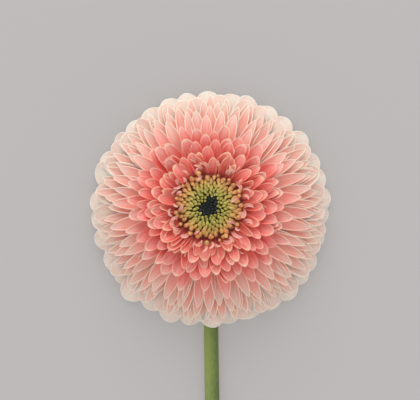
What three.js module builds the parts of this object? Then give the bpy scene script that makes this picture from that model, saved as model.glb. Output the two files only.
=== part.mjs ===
// A cut full-double gerbera, laid on a table with its face up. The neck bends
// over just below the head, so the stem lies flat and the head rests on the
// drooping tips of its outermost ray florets.
import * as THREE from "three";

// Driving dimensions, in millimetres. The table is z = 0, the head's axis is
// vertical, and the stem runs off along -Y.
const STEM_LENGTH = 350; // along the stem, from the cut to the head
const STEM_DIAMETER_NECK = 5.4;
const STEM_DIAMETER_CUT = 6.6; // a scape is thicker where it was cut
const STEM_SWAY = 7; // sideways drift of the cut end from the head's middle
const NECK_BEND_RADIUS = 6.5; // of the stem's middle line
const NECK_STUB = 1.2; // straight stretch between bend and head

const CUP_NECK_RADIUS = 3.6; // the receptacle where it meets the stem
const CUP_RADIUS = 10.8; // the receptacle's rim
const CUP_HEIGHT = 6;
const CONE_TOP_RADIUS = 6.9; // where the disc begins
const BRACTS_PER_ROW = 16;
const BRACT_THICKNESS = 0.5;
const BRACT_SLACK = 0.2; // bracts stand a little off the cup and each other

const HEAD_RADIUS = 45; // over the outermost ray florets
const RAYS_PER_WHORL = 34;
const RAY_THICKNESS = 0.6;
const GUARD_RAY_WIDTH = 7.9; // outermost florets, at their widest
const PALE_WHORLS = 4; // long pointed florets, inside the outermost whorl
const GUARD_SHOW = 4; // of the outermost florets beyond the first pale tips
const PALE_INNER_RADIUS = 32.5; // tips of the last pale whorl
const CORAL_WHORLS = 5; // short blunt florets, inside the pale ones
const CORAL_OUTER_RADIUS = 29.3; // tips of the first and the last coral whorl
const CORAL_INNER_RADIUS = 17.5;
const SKIRT_RISE = 3.6; // of the first pale tips over the floret that lies on the stem
const CROWN_RISE = 6.2; // innermost tips above their own bases

const DISC_RADIUS = 13.6; // over the open florets at the disc's edge
const BUD_RADIUS = 9.2; // closed buds inside, opened florets outside
const HEART_RADIUS = 3.3; // dark unopened buds in the middle
const DISC_FLORET_HEIGHT = 2.2;
const HEART_DIP = 1.2; // the middle lies lower than the buds round it

const CLEARANCE = 0.35; // between neighbouring pieces
const BASE_SLACK = 0.1; // more room between whorls where they stand on the cone

const LATHE_STEPS = 24;
const STEM_SIDES = 12;
const STEM_STEPS = 20; // along the lying stretch
const BEND_STEPS = 7; // round the neck

// Heights that follow from the sizes above.
const neckRadius = STEM_DIAMETER_NECK / 2;
const bendTop = neckRadius + NECK_BEND_RADIUS;
const stemTop = bendTop + NECK_STUB;
const cupBase = stemTop + CLEARANCE;
const cupTop = cupBase + CUP_HEIGHT;
const ringWhorls = PALE_WHORLS + CORAL_WHORLS;
const whorlPitch = RAY_THICKNESS + CLEARANCE + BASE_SLACK;
const coneTop = rayBaseHeight(ringWhorls) + RAY_THICKNESS + CLEARANCE;
const stemRayTip = STEM_DIAMETER_NECK + CLEARANCE + RAY_THICKNESS;
const skirtTip = stemRayTip + RAY_THICKNESS + CLEARANCE + SKIRT_RISE;
const crownTip = rayBaseHeight(ringWhorls) + CROWN_RISE;

function rayBaseHeight(whorl) {
  return cupTop + CLEARANCE + RAY_THICKNESS / 2 + whorl * whorlPitch;
}

// The receptacle narrows from its rim to the disc, and every whorl stands just off it.
function rayBaseRadius(whorl) {
  const share = (rayBaseHeight(whorl) - cupTop) / (coneTop - cupTop);
  const cone = THREE.MathUtils.lerp(CUP_RADIUS, CONE_TOP_RADIUS, share);
  return cone + CLEARANCE + RAY_THICKNESS / 2;
}

// A profile is a curve of x = distance from the head's axis and y = height.
function profile(start, control, end) {
  return new THREE.QuadraticBezierCurve(
    new THREE.Vector2(...start),
    new THREE.Vector2(...control),
    new THREE.Vector2(...end),
  );
}

// The point at share s of a profile, moved off it towards its upper left side.
function offProfile(curve, s, distance) {
  const tangent = curve.getTangent(s);
  const normal = new THREE.Vector2(-tangent.y, tangent.x);
  return curve.getPoint(s).addScaledVector(normal, distance);
}

function shareAtRadius(curve, radius) {
  let low = 0;
  let high = 1;
  for (let i = 0; i < 30; i++) {
    const middle = (low + high) / 2;
    if (curve.getPoint(middle).x < radius) low = middle;
    else high = middle;
  }
  return low;
}

// Profiles of the rays: whorl 0 is the outermost, which droops to the table.
function guardProfile(tipHeight, arch) {
  const base = [rayBaseRadius(0), rayBaseHeight(0)];
  const bend = [THREE.MathUtils.lerp(base[0], HEAD_RADIUS, 0.58), base[1] + arch];
  return profile(base, bend, [HEAD_RADIUS, tipHeight]);
}

// How far out the tips of a whorl reach. Whorl 1 is the first pale one.
function tipRadius(whorl) {
  if (whorl > PALE_WHORLS) {
    const share = (whorl - PALE_WHORLS - 1) / (CORAL_WHORLS - 1);
    return THREE.MathUtils.lerp(CORAL_OUTER_RADIUS, CORAL_INNER_RADIUS, share);
  }
  const share = (whorl - 1) / (PALE_WHORLS - 1);
  return THREE.MathUtils.lerp(HEAD_RADIUS - GUARD_SHOW, PALE_INNER_RADIUS, share);
}

// The tips lie on a dome: 0 at the first pale whorl, 1 at the innermost coral one.
function domeShare(whorl) {
  return (tipRadius(1) - tipRadius(whorl)) / (tipRadius(1) - tipRadius(ringWhorls));
}

function ringProfile(whorl) {
  const t = domeShare(whorl);
  const base = [rayBaseRadius(whorl), rayBaseHeight(whorl)];
  const height = THREE.MathUtils.lerp(skirtTip, crownTip, Math.sin((t * Math.PI) / 2));
  const tip = [tipRadius(whorl), height];
  const bend = [
    THREE.MathUtils.lerp(base[0], tip[0], 0.55 - 0.17 * t),
    Math.max(base[1], tip[1]) + 3.6 * (1 - t) - 1.6 * t,
  ];
  return profile(base, bend, tip);
}

const innermost = ringProfile(ringWhorls);

function meshOf(name, geometry, colour, roughness = 0.7) {
  const material = new THREE.MeshStandardMaterial({ color: colour, roughness, metalness: 0 });
  const mesh = new THREE.Mesh(geometry, material);
  mesh.name = name;
  return mesh;
}

function geometryOf(points, triangles) {
  const geometry = new THREE.BufferGeometry().setFromPoints(points);
  geometry.setIndex(triangles);
  geometry.computeVertexNormals();
  return geometry;
}

// A closed skin over a row of sections, each a closed ring of points. The far half
// of each ring is split along the other diagonals, and so is every second strip,
// so the two faces of a thin sheet match and its pleats are even.
function skin(sections, closedLoop) {
  const around = sections[0].length;
  const points = sections.flat();
  const triangles = [];
  const strips = closedLoop ? sections.length : sections.length - 1;
  for (let i = 0; i < strips; i++) {
    const here = i * around;
    const next = ((i + 1) % sections.length) * around;
    for (let j = 0; j < around; j++) {
      const k = (j + 1) % around;
      const far = j >= around / 2;
      if (far === (i % 2 === 1)) {
        triangles.push(here + j, here + k, next + k);
        triangles.push(here + j, next + k, next + j);
      } else {
        triangles.push(here + j, here + k, next + j);
        triangles.push(here + k, next + k, next + j);
      }
    }
  }
  if (!closedLoop) {
    const last = (sections.length - 1) * around;
    for (let j = 1; j < around - 1; j++) {
      triangles.push(0, j + 1, j);
      triangles.push(last, last + j, last + j + 1);
    }
  }
  return geometryOf(points, triangles);
}

function lathe(points) {
  const outline = points.map(([r, z]) => new THREE.Vector2(r, z));
  return new THREE.LatheGeometry(outline, LATHE_STEPS).rotateX(Math.PI / 2);
}

function polar(angle, point) {
  return new THREE.Vector3(Math.cos(angle) * point.x, Math.sin(angle) * point.x, point.y);
}

// A ring of florets or bracts that share their sides: a scalloped sheet of
// even thickness lying on a surface of revolution.
function scallopedRing({ curve, count, turn, rows, thickness, offset = 0, start = 0, end = 1, notch }) {
  const sections = [];
  for (let column = 0; column < 2 * count; column++) {
    const angle = turn + (column * Math.PI) / count;
    const reach = column % 2 ? end - notch : end;
    const upper = [];
    const lower = [];
    for (let row = 0; row <= rows; row++) {
      const s = THREE.MathUtils.lerp(start, reach, row / rows);
      upper.push(polar(angle, offProfile(curve, s, offset + thickness / 2)));
      lower.push(polar(angle, offProfile(curve, s, offset - thickness / 2)));
    }
    sections.push([...upper, ...lower.reverse()]);
  }
  return skin(sections, true);
}

// The stem: a stub down from the head, the bend, then along the table.
function stemGeometry() {
  const bendLength = (NECK_BEND_RADIUS * Math.PI) / 2;
  const lying = STEM_LENGTH - NECK_STUB - bendLength;
  const stations = [{ x: 0, y: 0, z: stemTop, pitch: 0, radius: neckRadius }];
  for (let i = 0; i <= BEND_STEPS; i++) {
    const pitch = ((Math.PI / 2) * i) / BEND_STEPS;
    stations.push({
      x: 0,
      y: -NECK_BEND_RADIUS * (1 - Math.cos(pitch)),
      z: bendTop - NECK_BEND_RADIUS * Math.sin(pitch),
      pitch,
      radius: neckRadius,
    });
  }
  for (let i = 1; i <= STEM_STEPS; i++) {
    const share = i / STEM_STEPS;
    const radius = THREE.MathUtils.lerp(neckRadius, STEM_DIAMETER_CUT / 2, share);
    stations.push({
      x: (STEM_SWAY * (1 - Math.cos(Math.PI * share))) / 2,
      y: -NECK_BEND_RADIUS - lying * share,
      z: radius,
      pitch: Math.PI / 2,
      radius,
    });
  }
  const sections = stations.map(({ x, y, z, pitch, radius }) => {
    const outward = new THREE.Vector3(0, Math.cos(pitch), -Math.sin(pitch));
    return Array.from({ length: STEM_SIDES }, (_, side) => {
      const angle = (side * 2 * Math.PI) / STEM_SIDES;
      const point = new THREE.Vector3(x + radius * Math.sin(angle), y, z);
      return point.addScaledVector(outward, radius * Math.cos(angle));
    });
  });
  return skin(sections, false);
}

// One outermost ray floret: a strap that widens outwards and ends rounded.
function guardRayGeometry(curve, angle) {
  const roundFrom = 0.8;
  const sections = [0, 0.3, 0.6, roundFrom, 0.93, 1].map((s) => {
    const middle = curve.getPoint(s);
    const pitchWidth = (2 * Math.PI * middle.x) / RAYS_PER_WHORL - CLEARANCE;
    const past = Math.max(0, (s - roundFrom) / (1 - roundFrom));
    const rounding = Math.sqrt(1 - 0.8 * past * past);
    const half = (Math.min(pitchWidth, GUARD_RAY_WIDTH) / 2) * rounding;
    const side = new THREE.Vector3(-Math.sin(angle), Math.cos(angle), 0);
    const top = polar(angle, offProfile(curve, s, RAY_THICKNESS / 2));
    const bottom = polar(angle, offProfile(curve, s, -RAY_THICKNESS / 2));
    return [
      bottom.clone().addScaledVector(side, -half),
      bottom.clone().addScaledVector(side, half),
      top.clone().addScaledVector(side, half),
      top.clone().addScaledVector(side, -half),
    ];
  });
  return skin(sections, false);
}

const flower = new THREE.Group();

flower.add(meshOf("flower_stem", stemGeometry(), "#6f8a45"));

// The receptacle: a cup under the rays and the cone that they stand on.
const cup = profile(
  [CUP_NECK_RADIUS, cupBase],
  [CUP_RADIUS - 0.5, cupBase + 0.8],
  [CUP_RADIUS, cupTop],
);
const cupOutline = [0, 0.2, 0.4, 0.6, 0.8, 1].map((s) => cup.getPoint(s).toArray());
const receptacleOutline = [[0, cupBase], ...cupOutline, [CONE_TOP_RADIUS, coneTop], [0, coneTop]];
flower.add(meshOf("receptacle", lathe(receptacleOutline), "#7c8f4c"));

// Two rows of green bracts hug the cup, each row outside the last.
const bractRows = [
  { name: "inner_bracts", layer: 0, start: 0.12, end: 1 },
  { name: "outer_bracts", layer: 1, start: 0.3, end: 0.86 },
];
for (const { name, layer, start, end } of bractRows) {
  const step = BRACT_THICKNESS + CLEARANCE + BRACT_SLACK;
  const geometry = scallopedRing({
    curve: cup,
    count: BRACTS_PER_ROW,
    turn: (layer * Math.PI) / BRACTS_PER_ROW,
    rows: 3,
    thickness: BRACT_THICKNESS,
    offset: BRACT_THICKNESS / 2 - (layer + 1) * step,
    start,
    end,
    notch: 0.22,
  });
  flower.add(meshOf(name, geometry, "#62793c", 0.8));
}

// The outermost whorl. The floret over the stem lies on it, and the others
// reach the table.
const drooping = guardProfile(RAY_THICKNESS / 2, 2.4);
const overStem = guardProfile(stemRayTip, -1);
for (let i = 0; i < RAYS_PER_WHORL; i++) {
  const angle = -Math.PI / 2 + (i * 2 * Math.PI) / RAYS_PER_WHORL;
  const geometry = guardRayGeometry(i === 0 ? overStem : drooping, angle);
  const number = String(i + 1).padStart(2, "0");
  flower.add(meshOf(`ray_floret_${number}`, geometry, "#efdcd0", 0.6));
}

// The whorls inside it, each turned on from the one outside by what is left
// of the golden angle after a full set of florets.
const goldenAngle = Math.PI * (3 - Math.sqrt(5));
const whorlTurn = (RAYS_PER_WHORL * goldenAngle) % (2 * Math.PI);
const paleRay = new THREE.Color("#eebfae");
const coralRay = new THREE.Color("#e5645f");
for (let whorl = 1; whorl <= ringWhorls; whorl++) {
  const t = domeShare(whorl);
  const geometry = scallopedRing({
    curve: ringProfile(whorl),
    count: RAYS_PER_WHORL,
    turn: whorl * whorlTurn,
    rows: t < 0.4 ? 3 : 2,
    thickness: RAY_THICKNESS,
    notch: THREE.MathUtils.lerp(0.3, 0.4, t),
  });
  const colour = paleRay.clone().lerp(coralRay, t);
  flower.add(meshOf(`ray_whorl_${whorl}`, geometry, colour, 0.6));
}

// The disc: a ring of opened florets that leans out over the innermost rays,
// the closed buds inside it, and the dark heart.
const heartBase = coneTop + CLEARANCE;
const floretLift = RAY_THICKNESS / 2 + CLEARANCE;
function overRays(radius) {
  return offProfile(innermost, shareAtRadius(innermost, radius), floretLift).toArray();
}
const rim = overRays(DISC_RADIUS);
const rimInner = overRays(BUD_RADIUS + CLEARANCE);
const discTop = rim[1] + DISC_FLORET_HEIGHT;
const openFlorets = [
  rimInner,
  rim,
  [rim[0] + 0.5, rim[1] + 0.45 * DISC_FLORET_HEIGHT],
  [rim[0] - 0.7, discTop],
  [rimInner[0], discTop + 0.3],
  rimInner,
];
flower.add(meshOf("outer_disc_florets", lathe(openFlorets), "#c98d4e"));

const budInner = HEART_RADIUS + CLEARANCE;
const budOuter = rimInner[0] - CLEARANCE;
const closedBuds = [
  [budInner, heartBase],
  [CONE_TOP_RADIUS, heartBase],
  [budOuter, rimInner[1] + CLEARANCE],
  [budOuter, discTop + 0.3],
  [(budInner + budOuter) / 2 + 1, discTop + 0.6],
  [budInner, discTop - 0.4 * HEART_DIP],
  [budInner, heartBase],
];
flower.add(meshOf("inner_disc_florets", lathe(closedBuds), "#a3a049"));

const heart = [
  [0, heartBase],
  [HEART_RADIUS, heartBase],
  [HEART_RADIUS, discTop - 0.5 * HEART_DIP],
  [0, discTop - HEART_DIP],
];
flower.add(meshOf("disc_centre_buds", lathe(heart), "#22262e"));

// The frame's origin is the middle of the flower's footprint, on the table.
const part = new THREE.Group();
part.add(flower);
const box = new THREE.Box3().setFromObject(flower);
const middle = box.getCenter(new THREE.Vector3());
flower.position.set(-middle.x, -middle.y, -box.min.z);

export default part;
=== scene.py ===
# %% [markdown]
# # Cut gerbera
# A full-double (pompon) gerbera, cut and laid on a table with its face up. The packed
# CAD frame gives every size and place, and this script gives the flower its looks:
# every ray floret, the disc with its buds, the cup, the bracts and the stem. Shapes are
# worked out in millimetres from the middle of the head, on the table. They become
# metres of the row frame when a piece gets its vertices.

import math

import bpy
import numpy as np
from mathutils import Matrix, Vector


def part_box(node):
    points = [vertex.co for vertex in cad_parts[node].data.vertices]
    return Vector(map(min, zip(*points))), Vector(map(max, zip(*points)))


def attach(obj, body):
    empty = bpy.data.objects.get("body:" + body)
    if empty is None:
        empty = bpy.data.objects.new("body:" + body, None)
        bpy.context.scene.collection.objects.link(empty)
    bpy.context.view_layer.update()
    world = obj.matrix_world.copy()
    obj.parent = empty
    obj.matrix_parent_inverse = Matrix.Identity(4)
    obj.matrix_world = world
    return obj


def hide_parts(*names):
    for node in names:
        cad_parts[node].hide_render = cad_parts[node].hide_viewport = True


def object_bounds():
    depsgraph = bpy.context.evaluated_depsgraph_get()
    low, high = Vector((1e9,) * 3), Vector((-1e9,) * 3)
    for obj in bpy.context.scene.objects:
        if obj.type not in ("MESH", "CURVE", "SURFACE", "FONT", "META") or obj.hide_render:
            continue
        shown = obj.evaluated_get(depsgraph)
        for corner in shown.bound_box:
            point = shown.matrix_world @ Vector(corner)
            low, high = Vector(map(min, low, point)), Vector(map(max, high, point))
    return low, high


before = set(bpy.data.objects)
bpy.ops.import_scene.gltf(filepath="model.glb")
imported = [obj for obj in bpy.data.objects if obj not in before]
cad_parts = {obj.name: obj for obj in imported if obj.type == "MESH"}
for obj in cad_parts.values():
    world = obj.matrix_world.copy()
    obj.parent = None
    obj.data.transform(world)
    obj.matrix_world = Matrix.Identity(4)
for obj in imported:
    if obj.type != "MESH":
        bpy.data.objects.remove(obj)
cad_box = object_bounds()
MM = 0.001

low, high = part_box("receptacle")
head = (low + high) / 2
print("CAD nodes", len(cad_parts), "head at", round(head.x, 4), round(head.y, 4))

# %% [markdown]
# The camera comes first. It looks straight down on the face of the flower. A short lens
# close by would show the near petals too large, so it stands 1.2 m up with a long lens.
# The view is 158 mm wide at the height of the table.

# %% Camera
VIEW_WIDTH = 158.2
CAMERA_HEIGHT = 1200
SENSOR_WIDTH = 36
LEFT_OF_HEAD = 0.19
BEYOND_HEAD = 3.2

camera_data = bpy.data.cameras.new("overhead_camera")
camera_data.sensor_width = SENSOR_WIDTH
camera_data.lens = SENSOR_WIDTH * CAMERA_HEIGHT / VIEW_WIDTH
camera_data.dof.use_dof = False
camera = bpy.data.objects.new("overhead_camera", camera_data)
camera.location = (head.x - LEFT_OF_HEAD * MM, head.y + BEYOND_HEAD * MM, CAMERA_HEIGHT * MM)
bpy.context.scene.collection.objects.link(camera)
bpy.context.scene.camera = camera
print("lens", round(camera_data.lens, 1), "mm")

# %% [markdown]
# Several pieces share a few sizes: the cup's rim, the cone's top, and the heights of the
# crown and the disc. They could be typed in again, but they are read from the boxes of
# the CAD nodes, so that the looks stay inside the frame when it changes.

# %% Shared sizes


def span_mm(node):
    """(lowest corner, highest corner) of a CAD node in mm from the middle of the head."""
    low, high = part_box(node)
    shift = np.array([head.x, head.y, 0])
    return (np.array(low) - shift) / MM, (np.array(high) - shift) / MM


cup_low, cup_high = span_mm("receptacle")
CUP_DEPTH = 6
CUP_RADIUS = cup_high[0]
CUP_BASE = cup_low[2]
CUP_TOP = CUP_BASE + CUP_DEPTH
CONE_TOP = cup_high[2]
HEAD_RADIUS = span_mm("ray_floret_18")[1][1]
CROWN_HEIGHT = span_mm("ray_whorl_9")[1][2] - 0.6
DISC_TOP = span_mm("outer_disc_florets")[1][2]
STEM_END = span_mm("flower_stem")[0][1]
print("head radius", round(HEAD_RADIUS, 2), "cup", CUP_BASE, CONE_TOP, "crown", CROWN_HEIGHT)
print("disc top", DISC_TOP, "stem end", STEM_END)

# %% [markdown]
# Nature packs florets at the golden angle: each stands 137.5 degrees on from the last,
# so none hides another. The small differences between them come from one seeded
# generator, so the flower is the same on every run.

# %% Golden angle and chance
GOLDEN = math.pi * (3 - math.sqrt(5))
random = np.random.default_rng(27)
print("golden angle", round(math.degrees(GOLDEN), 2), "degrees")

# %% [markdown]
# Pieces are modelled as by hand. A primitive is added and named, vertices are picked by
# their place, and an edit-mode operator moves, turns or resizes them.

# %% Name and pick


def start_piece(name):
    """Names the primitive that was just added, and its mesh."""
    piece = bpy.context.object
    piece.name = name
    piece.data.name = name
    return piece


def pick(piece, test):
    """Selects the vertices of a piece that pass a test on their place."""
    bpy.context.view_layer.objects.active = piece
    bpy.ops.object.mode_set(mode="EDIT")
    bpy.ops.mesh.select_all(action="DESELECT")
    bpy.ops.object.mode_set(mode="OBJECT")
    for vertex in piece.data.vertices:
        vertex.select = bool(test(vertex.co))
    bpy.ops.object.mode_set(mode="EDIT")


def leave_edit():
    """Ends the work on a piece, with nothing selected."""
    bpy.ops.object.mode_set(mode="OBJECT")
    bpy.ops.object.select_all(action="DESELECT")


# %% [markdown]
# ## Ray florets
# A ray floret is a thin strap that is narrow at its base, widest past its middle, and
# ends in a point on the outer ones and round on the inner ones. Sculpting some 360 of
# them one by one would take days, so a flat blank of each shape is made once. It is one
# unit long and one unit to each side, with its rows and columns closer together at the
# margins and the tip, where the outline turns. Its copies are bent, folded and turned.

# %% Outline of a ray floret
COLUMNS = [-1, -0.86, -0.5, 0, 0.5, 0.86, 1]
ROWS = [0, 0.14, 0.28, 0.41, 0.53, 0.64, 0.74, 0.82, 0.885, 0.935, 0.972, 0.993, 1]
NARROWEST = 0.05


def ease(value, low=0.0, high=1.0):
    """0 below low, 1 above high, smooth between."""
    share = np.clip((np.asarray(value, float) - low) / (high - low), 0, 1)
    return share * share * (3 - 2 * share)


def strap_outline(along, base, widest, power, sharpness):
    """Half width along a floret: grows from its base to its widest place, then closes."""
    grown = base + (1 - base) * ease(along, -0.25, widest)
    past = np.clip((along - widest) / (1.0 - widest), 0, 1)
    closed = np.maximum(1 - past**power, 0) ** sharpness
    return np.maximum(grown * closed, NARROWEST)


# %% [markdown]
# The blank starts as an even grid. Each of its lines is picked and moved to its place,
# and the lines across are then resized to the outline. Drawing the outline point by
# point would give the same edge, but not the even faces that bend well.

# %% Blanks of the ray florets


def floret_blank(name, **outline):
    """A flat floret made from a grid. A picked line is lifted while it is being placed,
    so that it isn't picked again with its neighbour."""
    across, along = len(COLUMNS) - 1, len(ROWS) - 1
    bpy.ops.object.select_all(action="DESELECT")
    bpy.ops.mesh.primitive_grid_add(x_subdivisions=across, y_subdivisions=along, size=2)
    blank = start_piece(name)
    for i, place in enumerate(COLUMNS):
        was = -1 + 2 * i / across
        pick(blank, lambda co: abs(co.x - was) < 0.01 and co.z < 0.5)
        bpy.ops.transform.translate(value=(place - was, 0, 1))
    for j, place in enumerate(ROWS):
        was = -1 + 2 * j / along
        width = float(strap_outline(place, **outline))
        pick(blank, lambda co: abs(co.y - was) < 0.01 and co.z > 0.5)
        bpy.ops.transform.resize(value=(width, 1, 1), center_override=(0, was, 0))
        bpy.ops.transform.translate(value=(0, place - was, -1))
    leave_edit()
    blank.hide_render = True
    print(name, len(blank.data.polygons), "faces")
    return blank


pointed_blank = floret_blank("pointed_floret", base=0.3, widest=0.62, power=1.95, sharpness=0.7)
blunt_blank = floret_blank("blunt_floret", base=0.4, widest=0.72, power=2.2, sharpness=0.52)
broad_blank = floret_blank("broad_floret", base=0.25, widest=0.8, power=2.1, sharpness=0.5)

# %% [markdown]
# A copy of a blank gets its own mesh and its own vertices. It also carries named values
# at each vertex, such as how far that vertex is from the tip. The finishes read them, so
# a colour follows the petal however it is bent. Unwrapping each petal would be slower.
# The crown leans a little to one side, as no head grows quite even.

# %% Copies on the head
LEAN_FROM, LEAN_TO = 13, 33
LEAN_LEFT, LEAN_UP = 0.45, 0.8


def places(piece):
    """The vertices of a piece as an array."""
    flat = np.zeros(len(piece.data.vertices) * 3)
    piece.data.vertices.foreach_get("co", flat)
    return flat.reshape(-1, 3)


def on_the_row(points_mm):
    """Millimetres from the head's middle to metres of the row frame, with the crown's lean."""
    points = np.array(points_mm, float)
    crown = ease(points[:, 2], LEAN_FROM, LEAN_TO)
    points[:, 0] -= LEAN_LEFT * crown
    points[:, 1] += LEAN_UP * crown
    return (points * MM + np.array([head.x, head.y, 0])).astype(np.float32).ravel()


def mark_vertices(mesh, marks):
    """Gives a mesh a named value at every vertex for each mark."""
    for mark, values in marks.items():
        layer = mesh.attributes.new(mark, "FLOAT", "POINT")
        spread = np.broadcast_to(values, len(mesh.vertices)).astype(np.float32)
        layer.data.foreach_set("value", spread.ravel())


def copy_of(blank, name, points_mm, marks):
    """A copy of a blank with its own vertices, in mm from the head's middle, and marks."""
    mesh = blank.data.copy()
    mesh.vertices.foreach_set("co", on_the_row(points_mm))
    mark_vertices(mesh, marks)
    piece = bpy.data.objects.new(name, mesh)
    bpy.context.scene.collection.objects.link(piece)
    return piece


# %% [markdown]
# A real floret grows out of the cone, arches over and droops. Its middle line is a curve
# with one bend, in the upright plane through the head's axis. The florets near the stem
# are lifted over it, and none goes below the table.

# %% Curve of a floret
STEM_CLEARANCE = 6.0
LIFT_BELOW = 15
TABLE_GAP = 0.15


def arc(along, base, bend, tip):
    """Places and directions along a curve through the upright plane."""
    s = along[:, None]
    place = (1 - s) ** 2 * base + 2 * (1 - s) * s * bend + s**2 * tip
    heading = (1 - s) * (bend - base) + s * (tip - bend)
    heading /= np.linalg.norm(heading, axis=1)[:, None]
    return place, heading


def round_the_head(azimuth, out, lateral, up):
    """Points given as out from the axis, sideways and up, turned to their azimuth."""
    x = out * math.cos(azimuth) - lateral * math.sin(azimuth)
    y = out * math.sin(azimuth) + lateral * math.cos(azimuth)
    return np.stack([x, y, up], axis=1)


def over_stem(points):
    """Lifts what would lie in the stem, and keeps the rest on the table."""
    x, y, z = points.T
    near = 1 - ease(np.abs(x), 2.6, 6.5)
    under = ease(-y, 6, 14)
    lift = STEM_CLEARANCE * np.clip((LIFT_BELOW - z) / LIFT_BELOW, 0, 1) * near * under
    points[:, 2] = np.maximum(z + lift, TABLE_GAP)
    return points


# %% [markdown]
# No floret is flat. Its sides are lifted into a channel, two shallow grooves run along
# its veins, it rolls and swings a little, and its tip curls. All of this could be done
# with a chain of modifiers on each floret. Worked out in one function, it is quicker and
# every floret can have its own amounts.

# %% Shape one floret
RIDGE_SHARE = 0.035
RIDGE_HIGHEST = 0.19
ARC_LONGER = 1.06
TIP_EDGE = 0.6


def blended(blanks, blend):
    """Two blanks blended. For each vertex: sideways, along, and the half width there."""
    first, second = (places(blank) for blank in blanks)
    flat = first * (1 - blend) + second * blend
    sideways, along = flat[:, 0], flat[:, 1]
    row_of = np.abs(along[:, None] - np.array(ROWS)).argmin(axis=1)
    widest = np.array([np.abs(sideways[row_of == j]).max() for j in range(len(ROWS))])
    return sideways, along, widest[row_of]


def shaped_floret(name, blanks, blend, curve, azimuth, look, clear_stem=True):
    """A copy of the blanks, bent along its curve (base, bend, tip) and set on the head."""
    sideways, along, outline = blended(blanks, blend)
    side = sideways / outline
    base, bend, tip = (np.asarray(point) for point in curve)
    place, heading = arc(along, base, bend, tip)
    width = look["width"]
    channel = np.abs(side) ** 2.0 * outline * width * look["channel"] * ease(along, 0, 0.5)
    ridge = min(RIDGE_SHARE * width, RIDGE_HIGHEST) * np.cos(side * math.pi * 3)
    ridge = ridge * outline * ease(along, 0.1, 0.5)
    rise = channel + ridge + look["curl"] * ease(along, 0.62, 1.0) ** 1.5
    flat = sideways * width / 2
    roll = look["roll"] * ease(along, 0, 0.8)
    lateral = flat * np.cos(roll) - rise * np.sin(roll) + look["swing"] * along**2
    rise = flat * np.sin(roll) + rise * np.cos(roll)
    out = place[:, 0] - heading[:, 1] * rise
    up = place[:, 1] + heading[:, 0] * rise
    points = round_the_head(azimuth, out, lateral, up)
    from_tip = (1 - along) * np.linalg.norm(tip - base) * ARC_LONGER
    to_side = (1 - np.abs(side)) * outline * width / 2
    marks = {
        "across": side,
        "from_tip": from_tip,
        "edge": np.minimum(to_side, from_tip * TIP_EDGE),
        "row": look["row"],
        "tone": random.random(),
    }
    if clear_stem:
        points = over_stem(points)
    return copy_of(blanks[0], name, points, marks)


# %% [markdown]
# A whorl of florets becomes one piece. A petal is about a quarter of a millimetre thick.
# Solidify gives it two sides and a rim, and one level of subdivision rounds the coarse
# blank. Both are applied, so the mesh is final.

# %% Finish a whorl
PETAL_THICKNESS = 0.26


def join(pieces, name):
    """Joins pieces into one object."""
    bpy.ops.object.select_all(action="DESELECT")
    for piece in pieces:
        piece.select_set(True)
    bpy.context.view_layer.objects.active = pieces[0]
    bpy.ops.object.join()
    joined = bpy.context.object
    joined.name = name
    joined.data.name = name
    return joined


def apply(piece, kind, **settings):
    """Adds one modifier, sets it and applies it."""
    bpy.ops.object.select_all(action="DESELECT")
    piece.select_set(True)
    bpy.context.view_layer.objects.active = piece
    modifier = piece.modifiers.new(kind.lower(), kind)
    for setting, value in settings.items():
        setattr(modifier, setting, value)
    bpy.ops.object.modifier_apply(modifier=modifier.name)


def finished(piece, material, slot, *nodes, rounding=1):
    """Rounds a piece, smooths its shading, gives it its finish, hangs it under the root body
    and hides the CAD nodes it stands for. The slot is not used.
    """
    apply(piece, "SUBSURF", levels=rounding, render_levels=rounding)
    bpy.ops.object.shade_smooth()
    piece.data.materials.clear()
    piece.data.materials.append(material)
    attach(piece, "root")
    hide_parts(*nodes)
    piece.data.calc_loop_triangles()
    print(piece.name, len(piece.data.loop_triangles), "triangles")


def finished_whorl(florets, name, material, slot, *nodes, thickness=PETAL_THICKNESS):
    """Joins the florets of a whorl and gives them their thickness."""
    print(name, len(florets), "florets")
    whorl = join(florets, name)
    apply(whorl, "SOLIDIFY", thickness=thickness * MM, offset=0, use_even_offset=False)
    finished(whorl, material, slot, *nodes)


# %% [markdown]
# Finishes are small node trees. Colours are given as sRGB hex and turned to linear by one
# function, and one function adds a node with its settings and links.

# %% Material helpers
SMOOTH = {"interpolation_type": "SMOOTHSTEP"}
COLOURS = {"data_type": "RGBA", "out": 2}
FIRST, SECOND = 6, 7


def linear(hex_colour):
    """Linear RGBA of an sRGB hex colour."""
    parts = [int(hex_colour[i : i + 2], 16) / 255 for i in (1, 3, 5)]
    return [p / 12.92 if p <= 0.04045 else ((p + 0.055) / 1.055) ** 2.4 for p in parts] + [1]


def add(tree, kind, sockets=None, out=0, stops=(), **settings):
    """Adds a node and gives back one of its outputs. Its sockets take a value or the
    output of another node, and a colour ramp takes (place, hex) stops."""
    made = tree.nodes.new("ShaderNode" + kind)
    for setting, value in settings.items():
        setattr(made, setting, value)
    for socket, value in (sockets or {}).items():
        if isinstance(value, bpy.types.NodeSocket):
            tree.links.new(value, made.inputs[socket])
        else:
            made.inputs[socket].default_value = value
    if stops:
        points = made.color_ramp.elements
        while len(points) < len(stops):
            points.new(0.5)
        for point, (place, colour) in zip(points, stops):
            point.position = place
            point.color = linear(colour)
    return made.outputs[out]


def new_material(name, sockets):
    """A material, its node tree, and its surface shader with its plain values set."""
    material = bpy.data.materials.new(name)
    material.use_nodes = True
    surface = material.node_tree.nodes["Principled BSDF"]
    for socket, value in sockets.items():
        surface.inputs[socket].default_value = value
    return material, material.node_tree, surface
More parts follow.
